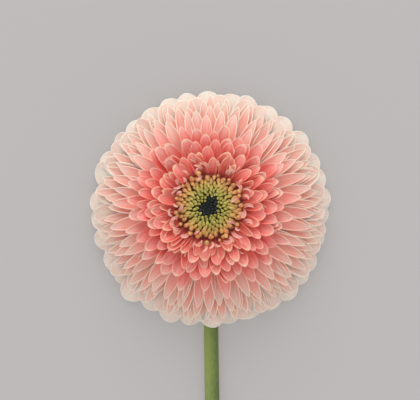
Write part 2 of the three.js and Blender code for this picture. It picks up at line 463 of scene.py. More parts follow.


# %% [markdown]
# ### Petal finish
# A petal is salmon at its base and pale at its tip, with faint streaks between its veins
# and a thin pale margin: partly the edge's own paler colour where the strap is thinnest,
# partly a painted highlight where the upturned edge catches the light. It could be
# painted by hand on one petal, but then all would be the same. Here the colours are
# worked out from the marks, and a row number leads from the pale outer florets to the
# coral inner ones.

# %% Parts of the petal finish
STREAKS_ACROSS = 7.0
STREAK_STRETCH = 0.09
OWN_STREAKS = 40.0


def petal_streaks(tree, across, from_tip, tone):
    """Noise drawn out along the floret. Each floret's tone takes its own part of it."""
    where = add(tree, "CombineXYZ", {0: across, 1: from_tip, 2: tone})
    scale = (STREAKS_ACROSS, STREAK_STRETCH, OWN_STREAKS)
    drawn_out = add(tree, "VectorMath", {0: where, 1: scale}, operation="MULTIPLY")
    return add(tree, "TexNoise", {"Vector": drawn_out, "Scale": 1.0, "Detail": 3.0})


def pale_length(tree, row, coral, fade):
    """How far the pale tip reaches, in mm: most on the broad florets, least on the coral."""
    broad = add(tree, "MapRange", {0: row, 1: 0.09, 2: 0.12, 3: fade + 9.0, 4: fade}, **SMOOTH)
    pointed = add(tree, "MapRange", {0: row, 1: 0.35, 2: 0.52, 3: 0.0, 4: 3.0}, **SMOOTH)
    outer = add(tree, "Math", {0: broad, 1: pointed}, operation="ADD")
    return add(tree, "Math", {0: coral, 1: -4.0, 2: outer}, operation="MULTIPLY_ADD")


def toward_base(tree, across, from_tip, tone, length):
    """0 at the tip and 1 at the base. The pale part is longer on some florets, and the
    colour comes up a little along the flanks, partly the floret's own salmon and partly
    painted shade where the florets overlap."""
    uneven = add(tree, "Math", {0: tone, 1: 0.5, 2: 0.75}, operation="MULTIPLY_ADD")
    depth = add(tree, "Math", {0: from_tip, 1: uneven}, operation="MULTIPLY")
    depth = add(tree, "Math", {0: depth, 1: length}, operation="DIVIDE")
    off_middle = add(tree, "Math", {0: across}, operation="ABSOLUTE")
    # Partly painted shade: the base colour reaches further up the flanks.
    flank_tint_and_shade = add(tree, "MapRange", {0: off_middle, 1: 0.15, 2: 0.9, 3: 0.0, 4: 0.3}, **SMOOTH)
    depth = add(tree, "Math", {0: depth, 1: flank_tint_and_shade}, operation="ADD")
    return add(tree, "MapRange", {0: depth, 1: 0.1, 2: 1.1}, **SMOOTH)


def pale_margin_and_highlight(tree, edge, from_tip, tone, coral, share):
    """Where the pale margin is: partly the edge's own paler colour, partly a painted
    highlight along the upturned edge. A coral floret has it near its tip only, and some of
    them have a pale lip, partly a painted highlight on the curled tip."""
    behind = add(tree, "MapRange", {0: from_tip, 1: 0.6, 2: 4.0, 3: 0.0, 4: 0.75}, **SMOOTH)
    lost = add(tree, "Math", {0: behind, 1: coral}, operation="MULTIPLY")
    kept = add(tree, "Math", {0: 1.0, 1: lost}, operation="SUBTRACT")
    faint = add(tree, "Math", {0: tone, 1: -0.5}, operation="MULTIPLY")
    bold = add(tree, "Math", {0: coral, 1: faint, 2: 1.0}, operation="MULTIPLY_ADD")
    kept = add(tree, "Math", {0: kept, 1: bold}, operation="MULTIPLY")
    rim = add(tree, "MapRange", {0: edge, 1: 0.1, 2: 0.5, 3: share, 4: 0.0}, **SMOOTH)
    rim = add(tree, "Math", {0: rim, 1: kept}, operation="MULTIPLY")
    lip = add(tree, "MapRange", {0: from_tip, 1: 0.3, 2: 1.5, 3: 0.8, 4: 0.0}, **SMOOTH)
    chosen = add(tree, "MapRange", {0: tone, 1: 0.2, 2: 0.5, 3: 1.0, 4: 0.0}, **SMOOTH)
    lip = add(tree, "Math", {0: lip, 1: chosen}, operation="MULTIPLY")
    lip = add(tree, "Math", {0: lip, 1: coral}, operation="MULTIPLY")
    return add(tree, "Math", {0: rim, 1: lip}, operation="MAXIMUM")


# %% [markdown]
# The skin of a petal is satin: half smooth, with a soft shine. Light gets into the thin
# tissue and comes out again warmer, so half of it is scattered below the surface, the red
# farthest. The streaks also stand up a little as fine ridges.

# %% Petal finish
PETAL_SATIN = {
    "Roughness": 0.48,
    "Specular IOR Level": 0.45,
    "Subsurface Weight": 0.5,
    "Subsurface Radius": (1.0, 0.5, 0.4),
    "Subsurface Scale": 0.8 * MM,
}


def petal_material(name, bases, tips, margin, fade, margin_share=0.85):
    """A petal whose colours run from bases to tips over `fade` mm, both by row."""
    material, tree, surface = new_material(name, PETAL_SATIN)
    row, from_tip, edge, tone, across = (
        add(tree, "Attribute", out="Fac", attribute_name=mark)
        for mark in ("row", "from_tip", "edge", "tone", "across")
    )
    coral = add(tree, "MapRange", {0: row, 1: 0.54, 2: 0.64}, **SMOOTH)
    length = pale_length(tree, row, coral, fade)
    share = toward_base(tree, across, from_tip, tone, length)
    base = add(tree, "ValToRGB", {0: row}, stops=bases)
    tip = add(tree, "ValToRGB", {0: row}, stops=tips)
    colour = add(tree, "Mix", {0: share, FIRST: tip, SECOND: base}, **COLOURS)

    streaks = petal_streaks(tree, across, from_tip, tone)
    deeper = {0: 1.0, FIRST: colour, SECOND: linear("#eda096")}
    deep = add(tree, "Mix", deeper, blend_type="MULTIPLY", **COLOURS)
    veined = add(tree, "Math", {0: coral, 1: 0.3, 2: 0.2}, operation="MULTIPLY_ADD")
    share = add(tree, "MapRange", {0: streaks, 1: 0.42, 2: 0.72}, **SMOOTH)
    share = add(tree, "Math", {0: share, 1: veined}, operation="MULTIPLY")
    colour = add(tree, "Mix", {0: share, FIRST: colour, SECOND: deep}, **COLOURS)

    # The pale margin and lip: the edge's own paler colour with a painted highlight on it.
    share = pale_margin_and_highlight(tree, edge, from_tip, tone, coral, margin_share)
    pale = add(tree, "ValToRGB", {0: row}, stops=margin)
    colour = add(tree, "Mix", {0: share, FIRST: colour, SECOND: pale}, **COLOURS)
    tree.links.new(colour, surface.inputs["Base Color"])
    bump = add(tree, "Bump", {"Strength": 0.25, "Distance": 0.2 * MM, "Height": streaks})
    tree.links.new(bump, surface.inputs["Normal"])
    print(name, len(tree.nodes), "nodes")
    return material


# %% [markdown]
# Two petal finishes cover the head. The outermost florets are cream with a hint of
# salmon at the base. For all the others the stops run by row, from the pale outside on
# the left to the deep coral next to the disc on the right.

# %% Petal colours
guard_petal = petal_material(
    "cream_petal",
    bases=[(0, "#f4bda8"), (1, "#f4bda8")],
    tips=[(0, "#f4e0d0"), (1, "#f4e0d0")],
    # Margin colour: partly the edge's own tint, partly a painted highlight.
    margin=[(0, "#fff6ea"), (1, "#fff6ea")],
    fade=10,
)
ray_bases = [(0.09, "#f3b9a4"), (0.12, "#f4b39d"), (0.35, "#f3a490"), (0.54, "#f69d8b")]
# The deepest base stop, next to the disc, is partly painted shade of the gap there.
ray_bases += [(0.64, "#fa8378"), (0.86, "#f9776b"), (1, "#d2513f")]
ray_tips = [(0.09, "#eed1c0"), (0.12, "#ecc8b6"), (0.35, "#e9c6b5"), (0.54, "#edc4b4")]
ray_tips += [(0.64, "#fca99c"), (0.88, "#fb978b"), (1, "#f2937b")]
# Margin colours: partly the edge's own tint, partly a painted highlight.
ray_margin = [(0.09, "#fff1e2"), (0.12, "#ffecd9"), (0.55, "#ffddc6"), (0.8, "#fdcdb0")]
ray_margin += [(1, "#f8cba2")]
ray_petal = petal_material("salmon_petal", ray_bases, ray_tips, ray_margin, fade=6.5)

# %% [markdown]
# ### Outermost whorl
# 34 broad florets droop from the head to the table and make its round outline. They are
# cream and rounded. The one over the stem lies on it. Each stands for one CAD node, but
# they share a finish and never part, so they are joined into one piece.

# %% Outermost florets
FLORETS = 34
OVER_STEM = -math.pi / 2
RAY_BASE_OUTER = np.array([CUP_RADIUS + 0.6, CUP_TOP + 0.7])
STEM_TIP_SHORTER = 1.3
FAR_SIDE_SHORTER = 1.1


def guard_floret(number):
    """An outermost floret, counted round from the one over the stem."""
    azimuth = OVER_STEM + number * 2 * math.pi / FLORETS + random.normal(0, 0.018)
    reach = HEAD_RADIUS + random.normal(0, 0.4) - (STEM_TIP_SHORTER if number == 0 else 0)
    reach -= FAR_SIDE_SHORTER * max(math.sin(azimuth), 0) ** 2
    look = {
        "width": random.normal(10.2, 0.4),
        "channel": random.normal(0.05, 0.03),
        "curl": random.normal(0.1, 0.4),
        "roll": random.normal(0, 0.12),
        "swing": random.normal(0, 0.5),
        "row": 0.05,
    }
    tip = [reach, 0.75 + abs(random.normal(0, 0.25))]
    bend = [31 + random.normal(0, 0.4), 18.6 + random.normal(0, 0.4)]
    curve = (RAY_BASE_OUTER, bend, tip)
    return shaped_floret(f"guard_{number}", (broad_blank, blunt_blank), 0.2, curve, azimuth, look)


guards = [guard_floret(number) for number in range(FLORETS)]
guard_nodes = [f"ray_floret_{number:02d}" for number in range(1, FLORETS + 1)]
finished_whorl(guards, "guard_florets", guard_petal, "guard_ray", *guard_nodes)

# %% [markdown]
# ### The whorls inside it
# Every next floret stands on the cone a golden angle on from the last, a little higher
# and shorter. Rings of equal florets would be simpler, but this way the tips make the
# crossing spirals of a real head. The outer ones are pointed, pale and arched over, and
# the inner ones are blunt, coral and lean out less.

# %% Dome of the head
ROW_COUNT = 10
ROW_PLACES = [0, 1, 2, 3, 4, 5, 5.55, 6, 7, 8, 9, 10]
ROW_TIPS = [43.7, 42.5, 41.9, 40.8, 39.3, 37.4, 35.8, 30.2, 26.8, 23.4, 20.0, 17.0]
WIDTH_PLACES = [0, 1, 1.1, 3, 5.5, 6.5, 8.9, 9.1, 10]
WIDTHS = [9.2, 8.8, 4.6, 4.8, 5.0, 5.0, 4.8, 3.7, 3.0]
RAY_BASE_INNER = np.array([7.6, CONE_TOP - 0.7])
SKIRT_RADIUS = 41
SKIRT_HEIGHT = 10.9
CROWN_RADIUS = 17.5


def dome_height(reach):
    """Height of the tips: low at the skirt, high at the crown."""
    share = np.clip((SKIRT_RADIUS - reach) / (SKIRT_RADIUS - CROWN_RADIUS), -0.15, 1)
    return SKIRT_HEIGHT + (CROWN_HEIGHT - SKIRT_HEIGHT) * math.sin(share * math.pi / 2)


print("tips stand", [round(dome_height(reach), 1) for reach in ROW_TIPS], "mm high")

# %% [markdown]
# One function makes any floret inside the outermost whorl from its number. Its row
# gives its reach, width and shape, and chance makes it differ from its neighbours, the
# coral ones most. Where a floret is bent depends on how far up the dome it stands.

# %% Inner florets


def inner_floret(number):
    """A floret inside the outermost whorl, counted from the outside in. The first row is
    broad and stands between the outermost florets."""
    row = number / FLORETS
    broad = row < 1
    coral = float(ease(row + random.normal(0, 0.12), 5.5, 6.2))
    reach = np.interp(row, ROW_PLACES, ROW_TIPS) + random.normal(0, 0.55 + 0.35 * coral)
    azimuth = 0.4 + number * GOLDEN + random.normal(0, 0.025)
    if broad:
        azimuth = OVER_STEM + (number + 0.5) * 2 * math.pi / FLORETS + random.normal(0, 0.03)
    reach *= 1 - 0.022 * max(math.sin(azimuth), 0) ** 2
    base = RAY_BASE_OUTER + (RAY_BASE_INNER - RAY_BASE_OUTER) * row / ROW_COUNT
    height = dome_height(reach) + random.normal(0, 0.35) - (1.1 if broad else 0)
    inward = float(np.clip((SKIRT_RADIUS - reach) / (SKIRT_RADIUS - CROWN_RADIUS), 0, 1))
    bend_out = base[0] + (reach - base[0]) * (0.56 - 0.16 * inward)
    bend_up = max(base[1], height) + 3.6 * (1 - inward) - 1.6 * inward
    width = np.interp(row, WIDTH_PLACES, WIDTHS)
    channel = 0.08 if broad else 0.23 + 0.07 * coral
    look = {
        "width": width * random.normal(1, 0.06 + 0.05 * coral),
        "channel": random.normal(channel, 0.04 + 0.02 * coral),
        "curl": random.normal(0.1 + 0.7 * coral, 0.3 + 0.4 * coral),
        "roll": random.normal(0, 0.14 + 0.16 * coral),
        "swing": random.normal(0, 0.55 + 0.5 * coral),
        "row": row / ROW_COUNT + (random.normal(0, 0.02) if row >= 4 else 0),
    }
    blend = float(np.clip(coral + random.normal(0, 0.1), 0, 1))
    blanks = (pointed_blank, blunt_blank)
    if broad:
        blanks, blend = (broad_blank, pointed_blank), 0.25
    curve = (base, [bend_out, bend_up], [reach, height])
    return shaped_floret(f"ray_{number}", blanks, blend, curve, azimuth, look)


# %% [markdown]
# The 326 florets are joined into nine whorls, one for each CAD whorl that they stand
# for. A whorl takes one to two rows.

# %% Nine whorls
WHORL_ROWS = [0, 2, 4, 5, 6, 6.8, 7.6, 8.4, 9, 9.6]
PALE_ROWS = 6

for whorl, (outer, inner) in enumerate(zip(WHORL_ROWS, WHORL_ROWS[1:]), 1):
    numbers = range(round(outer * FLORETS), round(inner * FLORETS))
    members = [inner_floret(number) for number in numbers]
    slot = "outer_ray" if inner <= PALE_ROWS else "inner_ray"
    finished_whorl(members, f"ray_florets_{whorl}", ray_petal, slot, f"ray_whorl_{whorl}")

# %% [markdown]
# ## Disc
# The disc is a shallow dome packed with closed buds. Each bud is a drop: it starts as a
# coarse ball, and its upper rings are drawn in and up, as one would pinch a ball of clay.

# %% Bud blank
bpy.ops.object.select_all(action="DESELECT")
bpy.ops.mesh.primitive_uv_sphere_add(segments=8, ring_count=6, radius=1)
bud_blank = start_piece("bud")
for above, narrower, higher in ((0.4, 0.9, 0.15), (0.8, 0.66, 0.3), (0.95, 0.7, 0.1)):
    pick(bud_blank, lambda co: co.z > above)
    bpy.ops.transform.resize(value=(narrower, narrower, 1), center_override=(0, 0, 0))
    bpy.ops.transform.translate(value=(0, 0, higher))
leave_edit()
bud_blank.hide_render = True
bud_shape = places(bud_blank)
bud_height = np.ptp(bud_shape[:, 2])
print("bud", len(bud_blank.data.polygons), "faces, height", round(float(bud_height), 2))

# %% [markdown]
# A bud is scaled to its size, leant toward the middle of the head, turned a little and
# set in its place. It carries its height share and its distance from the middle.

# %% Set one bud


def set_bud(name, azimuth, radius, height, wide, tall, lean, turn=0.0):
    """A bud at a place on the disc, leaning to the middle by an angle."""
    local = bud_shape * np.array([wide / 2, wide / 2, tall / bud_height])
    leant = local[:, 0] * math.cos(lean) - local[:, 2] * math.sin(lean)
    up = local[:, 0] * math.sin(lean) + local[:, 2] * math.cos(lean)
    out = leant * math.cos(turn) - local[:, 1] * math.sin(turn)
    lateral = leant * math.sin(turn) + local[:, 1] * math.cos(turn)
    points = round_the_head(azimuth, radius + out, lateral, height + up)
    share = (bud_shape[:, 2] - bud_shape[:, 2].min()) / bud_height
    marks = {"up": share, "ring": radius, "tone": random.random()}
    return copy_of(bud_blank, name, points, marks)


# %% [markdown]
# The buds stand on a golden spiral. A bud's distance from the middle grows with the
# square root of its number, which packs them evenly. They are smallest in the middle,
# where the disc has a slight hollow, and lean inwards. The youngest are the dark heart,
# whose edge is uneven.

# %% Buds
BUD_TOP = DISC_TOP - 1.4
BUD_SPACING = 0.72
BUDS_OUT_TO = 11.3
HEART_RADIUS = 3.15


def bud_radius(number):
    """Distance of a bud from the middle of the disc."""
    return BUD_SPACING * (number + 0.5) ** 0.5 * (1 + 0.0009 * number)


heart_buds = []
closed_buds = []
number = 0
while bud_radius(number) <= BUDS_OUT_TO:
    radius = bud_radius(number)
    azimuth = number * GOLDEN + random.normal(0, 0.25 / (radius + 2))
    radius += random.normal(0, 0.1)
    size = np.interp(radius, [0, 3, 7, 11], [0.85, 1.35, 1.75, 2.0]) * random.normal(1, 0.08)
    heart_edge = HEART_RADIUS + 0.4 * math.sin(2 * azimuth + 0.7) + random.normal(0, 0.3)
    height = BUD_TOP - 1.2 * (1 - ease(radius, 1.5, 5.5)) - 1.0 * ease(radius, 8.5, 12.5)
    height += random.normal(0, 0.12)
    lean = np.interp(radius, [0, 3, 5, 8, 11.5], [0.1, 0.5, 0.75, 0.95, 0.8])
    lean += random.normal(0, 0.12)
    tall = size * np.interp(radius, [3, 7], [1.3, 1.6])
    turn = random.normal(0, 0.15)
    bud = set_bud(f"bud_{number}", azimuth, radius, height, size, tall, lean, turn)
    (heart_buds if radius < heart_edge else closed_buds).append(bud)
    number += 1
print(len(heart_buds), "heart buds", len(closed_buds), "closed buds")

# %% [markdown]
# ### Disc finish
# A bud's skin is waxy and closed: blue-black in the heart, bright olive green round it
# and golden brown at the disc's edge. Each bud has a painted highlight at its tip and
# painted shade where it meets its neighbours. The distance mark colours them all with
# one ramp, where a material for every ring would show steps. The fine grain is about 1 mm.

# %% Disc finish
GRAINS_PER_MM = 0.9
RING_SPAN = 16.0


def bud_material(name, rings, foot, top, roughness):
    """Buds coloured by how far out they stand, with painted shade at the foot and a
    painted highlight on top.
    """
    waxy = {
        "Roughness": roughness,
        "Specular IOR Level": 0.35,
        "Subsurface Weight": 0.1,
        "Subsurface Radius": (1.0, 0.8, 0.3),
        "Subsurface Scale": 0.5 * MM,
    }
    material, tree, surface = new_material(name, waxy)
    ring, up, tone = (
        add(tree, "Attribute", out="Fac", attribute_name=mark) for mark in ("ring", "up", "tone")
    )
    ring = add(tree, "Math", {0: ring, 1: RING_SPAN}, operation="DIVIDE")
    colour = add(tree, "ValToRGB", {0: ring}, stops=rings)
    where = add(tree, "TexCoord", out="Object")
    grain = add(tree, "TexNoise", {"Vector": where, "Scale": GRAINS_PER_MM / MM})
    # The grain darkens toward the foot colour at random. The foot colour also paints shade low on
    # each bud, and the top colour paints a highlight at its tip.
    for value, low, high, at_low, at_high, shade in (
        (grain, 0.35, 0.7, 0.0, 0.3, foot),
        (up, 0.1, 0.6, 0.8, 0.0, foot),
        (up, 0.7, 1.0, 0.0, 0.35, top),
    ):
        share = add(tree, "MapRange", {0: value, 1: low, 2: high, 3: at_low, 4: at_high}, **SMOOTH)
        colour = add(tree, "Mix", {0: share, FIRST: colour, SECOND: linear(shade)}, **COLOURS)
    own = add(tree, "Math", {0: tone, 1: 0.3, 2: 0.85}, operation="MULTIPLY_ADD")
    shaded = {0: 1.0, FIRST: colour, SECOND: own}
    colour = add(tree, "Mix", shaded, blend_type="MULTIPLY", **COLOURS)
    tree.links.new(colour, surface.inputs["Base Color"])
    return material


olive_rings = [(0.2, "#aba44a"), (0.4, "#b5ad51"), (0.54, "#c7a654"), (0.64, "#dd9f5c")]
olive_rings += [(0.72, "#e49560"), (0.8, "#e9b978")]
dark_rings = [(0, "#2c323d"), (0.25, "#343b42")]
# The last two colours: grain and painted shade at the foot, and a painted highlight at the tip.
olive_bud = bud_material("olive_bud", olive_rings, "#6b3d1f", "#e2d488", 0.5)
dark_bud = bud_material("dark_bud", dark_rings, "#15191f", "#565a60", 0.6)
finished(join(heart_buds, "heart_of_disc"), dark_bud, "disc_heart", "disc_centre_buds")
finished(join(closed_buds, "closed_buds"), olive_bud, "disc_bud", "inner_disc_florets")

# %% [markdown]
# ### Opened florets
# Round the buds stand the opened disc florets. Their bodies are swollen golden knobs.
# They have the shape of a bud, only larger and standing more upright, so the same blank
# is used.

# %% Knobs
KNOBS = 32
KNOB_RADIUS = 12.1
KNOB_SIZE = 2.0

knobs = []
for number in range(KNOBS):
    azimuth = number * GOLDEN + random.normal(0, 0.04)
    radius = random.normal(KNOB_RADIUS, 0.55)
    size = random.normal(KNOB_SIZE, 0.3)
    height = BUD_TOP - 0.8 + random.normal(0, 0.35)
    lean = random.normal(0.1, 0.4)
    knobs.append(set_bud(f"knob_{number}", azimuth, radius, height, size, size * 1.35, lean))
finished(join(knobs, "opened_florets"), olive_bud, "open_disc_floret", "outer_disc_florets")

# %% [markdown]
# An opened floret also has a lip, a narrow pink ribbon that stands up and rolls over the
# gap between disc and rays. A curve with a profile could make it, but a flat ribbon that
# is bent like the rays keeps its folded sides and its pointed end.

# %% Ribbon blank
bpy.ops.object.select_all(action="DESELECT")
bpy.ops.mesh.primitive_grid_add(x_subdivisions=2, y_subdivisions=9, size=2)
ribbon_blank = start_piece("ribbon")
pick(ribbon_blank, lambda co: True)
bpy.ops.transform.translate(value=(0, 1, 0))
bpy.ops.transform.resize(value=(1, 0.5, 1), center_override=(0, 0, 0))
for beyond, width in ((0.72, 0.85), (0.85, 0.7), (0.95, 0.5)):
    pick(ribbon_blank, lambda co: co.y > beyond)
    bpy.ops.transform.resize(value=(width, 1, 1), center_override=(0, 0, 0))
leave_edit()
ribbon_blank.hide_render = True
ribbon_shape = places(ribbon_blank)
print("ribbon", len(ribbon_blank.data.polygons), "faces")

# %% [markdown]
# A ribbon's middle line is walked in small steps. It climbs at an angle that changes by
# its curl, while its heading in plan changes by its hook. Its two sides are folded up.

# %% Set one ribbon
RIBBON_STEPS = 60


def set_ribbon(name, azimuth, radius, height, look):
    """A ribbon that rises from a place, rolls over by its curl and hooks to one side."""
    side, along = ribbon_shape[:, 0], ribbon_shape[:, 1]
    fine = np.linspace(0, 1, RIBBON_STEPS)
    climb = look["start"] + look["curl"] * fine**1.3
    plan = look["turn"] + look["hook"] * fine**1.6
    step = look["length"] / (RIBBON_STEPS - 1)
    out = np.interp(along, fine, np.cumsum(np.cos(climb) * np.cos(plan)) * step)
    lateral = np.interp(along, fine, np.cumsum(np.cos(climb) * np.sin(plan)) * step)
    up = np.interp(along, fine, np.cumsum(np.sin(climb)) * step)
    climb, plan = np.interp(along, fine, climb), np.interp(along, fine, plan)
    folded = 0.4 * look["wide"] * side**2
    out += -np.sin(climb) * np.cos(plan) * folded - np.sin(plan) * side * look["wide"] / 2
    lateral += -np.sin(climb) * np.sin(plan) * folded + np.cos(plan) * side * look["wide"] / 2
    up += np.cos(climb) * folded
    points = round_the_head(azimuth, radius + out, lateral, height + up)
    marks = {
        "across": side,
        "from_tip": (1 - along) * look["length"],
        "edge": (1 - np.abs(side)) * look["wide"] / 2,
        "row": 0.5,
        "tone": random.random(),
    }
    return copy_of(ribbon_blank, name, points, marks)


# %% [markdown]
# Three kinds of ribbon stand there: lips that roll out over the gap, a few that roll in
# over the buds, and thin threads between the inner rays. Each has its own length, curl
# and hook, because a ring of equal lips looks like lace.

# %% Curled lips
lips = []
for number in range(38):
    azimuth = number * GOLDEN + 0.09 + random.normal(0, 0.05)
    radius = random.uniform(12.2, 14.4)
    look = {
        "length": random.uniform(3.4, 6.0),
        "wide": random.uniform(0.8, 1.6),
        "start": random.normal(1.3, 0.2),
        "curl": random.uniform(-2.4, -1.0),
        "turn": random.normal(0, 0.9),
        "hook": random.choice([-1, 1]) * random.uniform(0.8, 3.4),
    }
    lips.append(set_ribbon(f"lip_{number}", azimuth, radius, BUD_TOP - 1.9, look))
print(len(lips), "lips over the gap")

# %% Lips that roll inwards
for number in range(5):
    azimuth = 3.3 + number * GOLDEN
    look = {
        "length": random.uniform(4.0, 5.6),
        "wide": random.uniform(1.0, 1.5),
        "start": random.normal(1.95, 0.1),
        "curl": random.uniform(0.9, 1.3),
        "turn": random.normal(0, 0.3),
        "hook": random.normal(0, 0.7),
    }
    lips.append(set_ribbon(f"inward_lip_{number}", azimuth, 12.0, BUD_TOP - 1.2, look))
print(len(lips), "lips with those over the buds")

# %% Threads between the inner rays
for number in range(34):
    azimuth = number * GOLDEN + random.normal(0, 0.1)
    radius = random.uniform(13.5, 21.5)
    height = dome_height(radius + 4) - 0.9
    look = {
        "length": random.uniform(2.5, 4.6),
        "wide": random.uniform(0.4, 0.8),
        "start": random.normal(0.7, 0.25),
        "curl": random.normal(-0.9, 0.6),
        "turn": random.normal(0, 0.3),
        "hook": random.normal(0, 0.8),
    }
    lips.append(set_ribbon(f"thread_{number}", azimuth, radius, height, look))
print(len(lips), "lips and threads")

# %% [markdown]
# The lips have the petals' satin finish in a deeper pink, and are thinner than a petal.

# %% Finish of the lips
LIP_THICKNESS = 0.16
pink_lip = petal_material(
    "pink_lip",
    # The deep red bases are partly painted shade of the gap by the disc.
    bases=[(0, "#c8493f"), (1, "#c8493f")],
    tips=[(0, "#f9a694"), (1, "#f9a694")],
    margin=[(0, "#ffd3bb"), (1, "#ffd3bb")],
    fade=3.2,
    margin_share=0.5,
)
lip_place = ("open_disc_floret", "outer_disc_florets")
finished_whorl(lips, "curled_lips", pink_lip, *lip_place, thickness=LIP_THICKNESS)

# %% [markdown]
# ## Receptacle
# The fleshy cup and cone that carries every floret. It is round, so it is made as on a
# lathe: a circle is extruded upwards and resized ring by ring, out to the rim, in along
# the cone, and out again to the plate under the disc.

# %% Outline of the receptacle
STEM_HOLD = 3.6
PLATE = BUD_TOP - 1.7


def cup_radius(share):
    """The cup's outline: half of a rounded bowl."""
    belly = CUP_RADIUS - 0.5
    return (1 - share) ** 2 * STEM_HOLD + 2 * (1 - share) * share * belly + share**2 * CUP_RADIUS


def cup_height(share):
    """Height of the cup's outline, flat at first and then steep."""
    return CUP_BASE + 2 * (1 - share) * share * 0.8 + share**2 * CUP_DEPTH


turned = [(cup_radius(share), cup_height(share)) for share in (0.15, 0.35, 0.55, 0.75, 0.9, 1.0)]
turned += [(9.2, CUP_TOP + 4), (7.6, CONE_TOP - 2), (7.4, CONE_TOP + 0.6)]
turned += [(9.6, PLATE - 1.1), (12.0, PLATE - 0.3), (12.1, PLATE), (10.5, PLATE + 0.3)]
turned += [(6.5, PLATE + 0.2), (3.4, PLATE - 0.6), (1.5, PLATE - 1.0)]
print("receptacle turned through", len(turned), "rings")

# %% [markdown]
# The rings are now extruded one from another, and both ends are closed to a point, so
# the flesh is one closed solid with its faces outwards.

# %% Receptacle


def extrude(move=(0, 0, 0)):
    """Extrudes the picked ring and moves it."""
    bpy.ops.mesh.extrude_region_move(TRANSFORM_OT_translate={"value": move})


def close_end():
    """Closes the picked ring to a point."""
    extrude()
    bpy.ops.mesh.merge(type="CENTER")


def outward(piece):
    """Turns every face of a closed piece outwards."""
    pick(piece, lambda place: True)
    bpy.ops.mesh.normals_make_consistent(inside=False)
    leave_edit()


def settle(piece):
    """Brings a piece modelled in mm round the head's middle into the row frame."""
    piece.data.vertices.foreach_set("co", on_the_row(places(piece)))
    piece.data.update()


bpy.ops.object.select_all(action="DESELECT")
bpy.ops.mesh.primitive_circle_add(vertices=32, radius=STEM_HOLD, location=(0, 0, 0))
receptacle = start_piece("receptacle_flesh")
pick(receptacle, lambda co: True)
bpy.ops.transform.translate(value=(0, 0, CUP_BASE))
radius, height = STEM_HOLD, CUP_BASE
for now_radius, now_height in turned:
    extrude((0, 0, now_height - height))
    grow = now_radius / radius
    bpy.ops.transform.resize(value=(grow, grow, 1), center_override=(0, 0, now_height))
    radius, height = now_radius, now_height
close_end()
pick(receptacle, lambda co: co.z < CUP_BASE + 0.01)
close_end()
leave_edit()
outward(receptacle)

# %% [markdown]
# The flesh is matt green, but the plate under the disc is painted dark as shade: olive
# brown in the gaps between the buds, and maroon at its edge, where it shows in the gap
# between disc and rays. A mark holds the distance from the axis on the plate, and 0 on
# the cup, so one ramp colours both.

# %% Receptacle finish
shape = places(receptacle)
rings = np.maximum(np.hypot(shape[:, 0], shape[:, 1]), 1.2)
mark_vertices(receptacle.data, {"ring": np.where(shape[:, 2] < CONE_TOP, 0, rings)})
settle(receptacle)

flesh, tree, surface = new_material("receptacle_flesh", {"Roughness": 0.7})
ring = add(tree, "Attribute", out="Fac", attribute_name="ring")
ring = add(tree, "Math", {0: ring, 1: 13.0}, operation="DIVIDE")
# Past the green flesh, the dark olive brown and maroon are painted shade of the gaps.
flesh_and_gap_shade_stops = [(0, "#7c8f4c"), (0.08, "#2a2d22"), (0.3, "#4c5520"), (0.6, "#5f5a22")]
flesh_and_gap_shade_stops += [(0.78, "#7a3d22"), (0.9, "#7c2b26")]
colour = add(tree, "ValToRGB", {0: ring}, stops=flesh_and_gap_shade_stops)
tree.links.new(colour, surface.inputs["Base Color"])
finished(receptacle, flesh, "receptacle_flesh", "receptacle", rounding=2)

# %% [markdown]
# ## Bracts
# Two rows of narrow green bracts hug the cup from below. Their skin is dull and finely
# haired, and darker at the tips. The hairs are much finer than the 0.7 mm grain here,
# which is as coarse as it needs to be to show.

# %% Bract finish
HAIRS_PER_MM = 1.4
haired = {"Roughness": 0.75, "Sheen Weight": 0.3}
bract_green, tree, surface = new_material("bract_green", haired)
where = add(tree, "TexCoord", out="Object")
drawn_out = add(tree, "VectorMath", {0: where, 1: (1.0, 1.0, 0.25)}, operation="MULTIPLY")
hairs = {"Vector": drawn_out, "Scale": HAIRS_PER_MM / MM, "Detail": 3.0}
grain = add(tree, "TexNoise", hairs)
leaf = add(tree, "ValToRGB", {0: grain}, stops=[(0.3, "#56702f"), (0.7, "#7a9146")])
from_tip = add(tree, "Attribute", out="Fac", attribute_name="from_tip")
dark = add(tree, "MapRange", {0: from_tip, 1: 0.2, 2: 1.8, 3: 0.7, 4: 0.0}, **SMOOTH)
leaf = add(tree, "Mix", {0: dark, FIRST: leaf, SECOND: linear("#6b4a3c")}, **COLOURS)
tree.links.new(leaf, surface.inputs["Base Color"])
print("bract finish", len(tree.nodes), "nodes")

# %% [markdown]
# A bract is a small thick leaf with a pointed end, like an outer ray floret, so the
# pointed blank is used again. Its curve goes from the foot of the cup round its belly.

# %% Bracts
BRACTS = 16
BRACT_THICKNESS = 0.4


def bract(number, turn, off_cup, start, end):
    """A bract that lies off the cup by a distance, between two places on its outline."""
    azimuth = (number + turn) * 2 * math.pi / BRACTS
    foot = np.array([cup_radius(start) + off_cup * 0.5, cup_height(start) - off_cup * 0.75])
    knee = np.array([CUP_RADIUS + 0.2 + off_cup, cup_height(start) + 0.4])
    top = np.array([cup_radius(end) + off_cup, cup_height(end)])
    look = {
        "width": random.normal(4.4, 0.2),
        "channel": 0.06,
        "curl": random.normal(-0.15, 0.1),
        "roll": random.normal(0, 0.06),
        "swing": random.normal(0, 0.15),
        "row": 0.5,
    }
    blanks = (pointed_blank, blunt_blank)
    return shaped_floret(f"bract_{number}", blanks, 0.1, (foot, knee, top), azimuth, look, False)


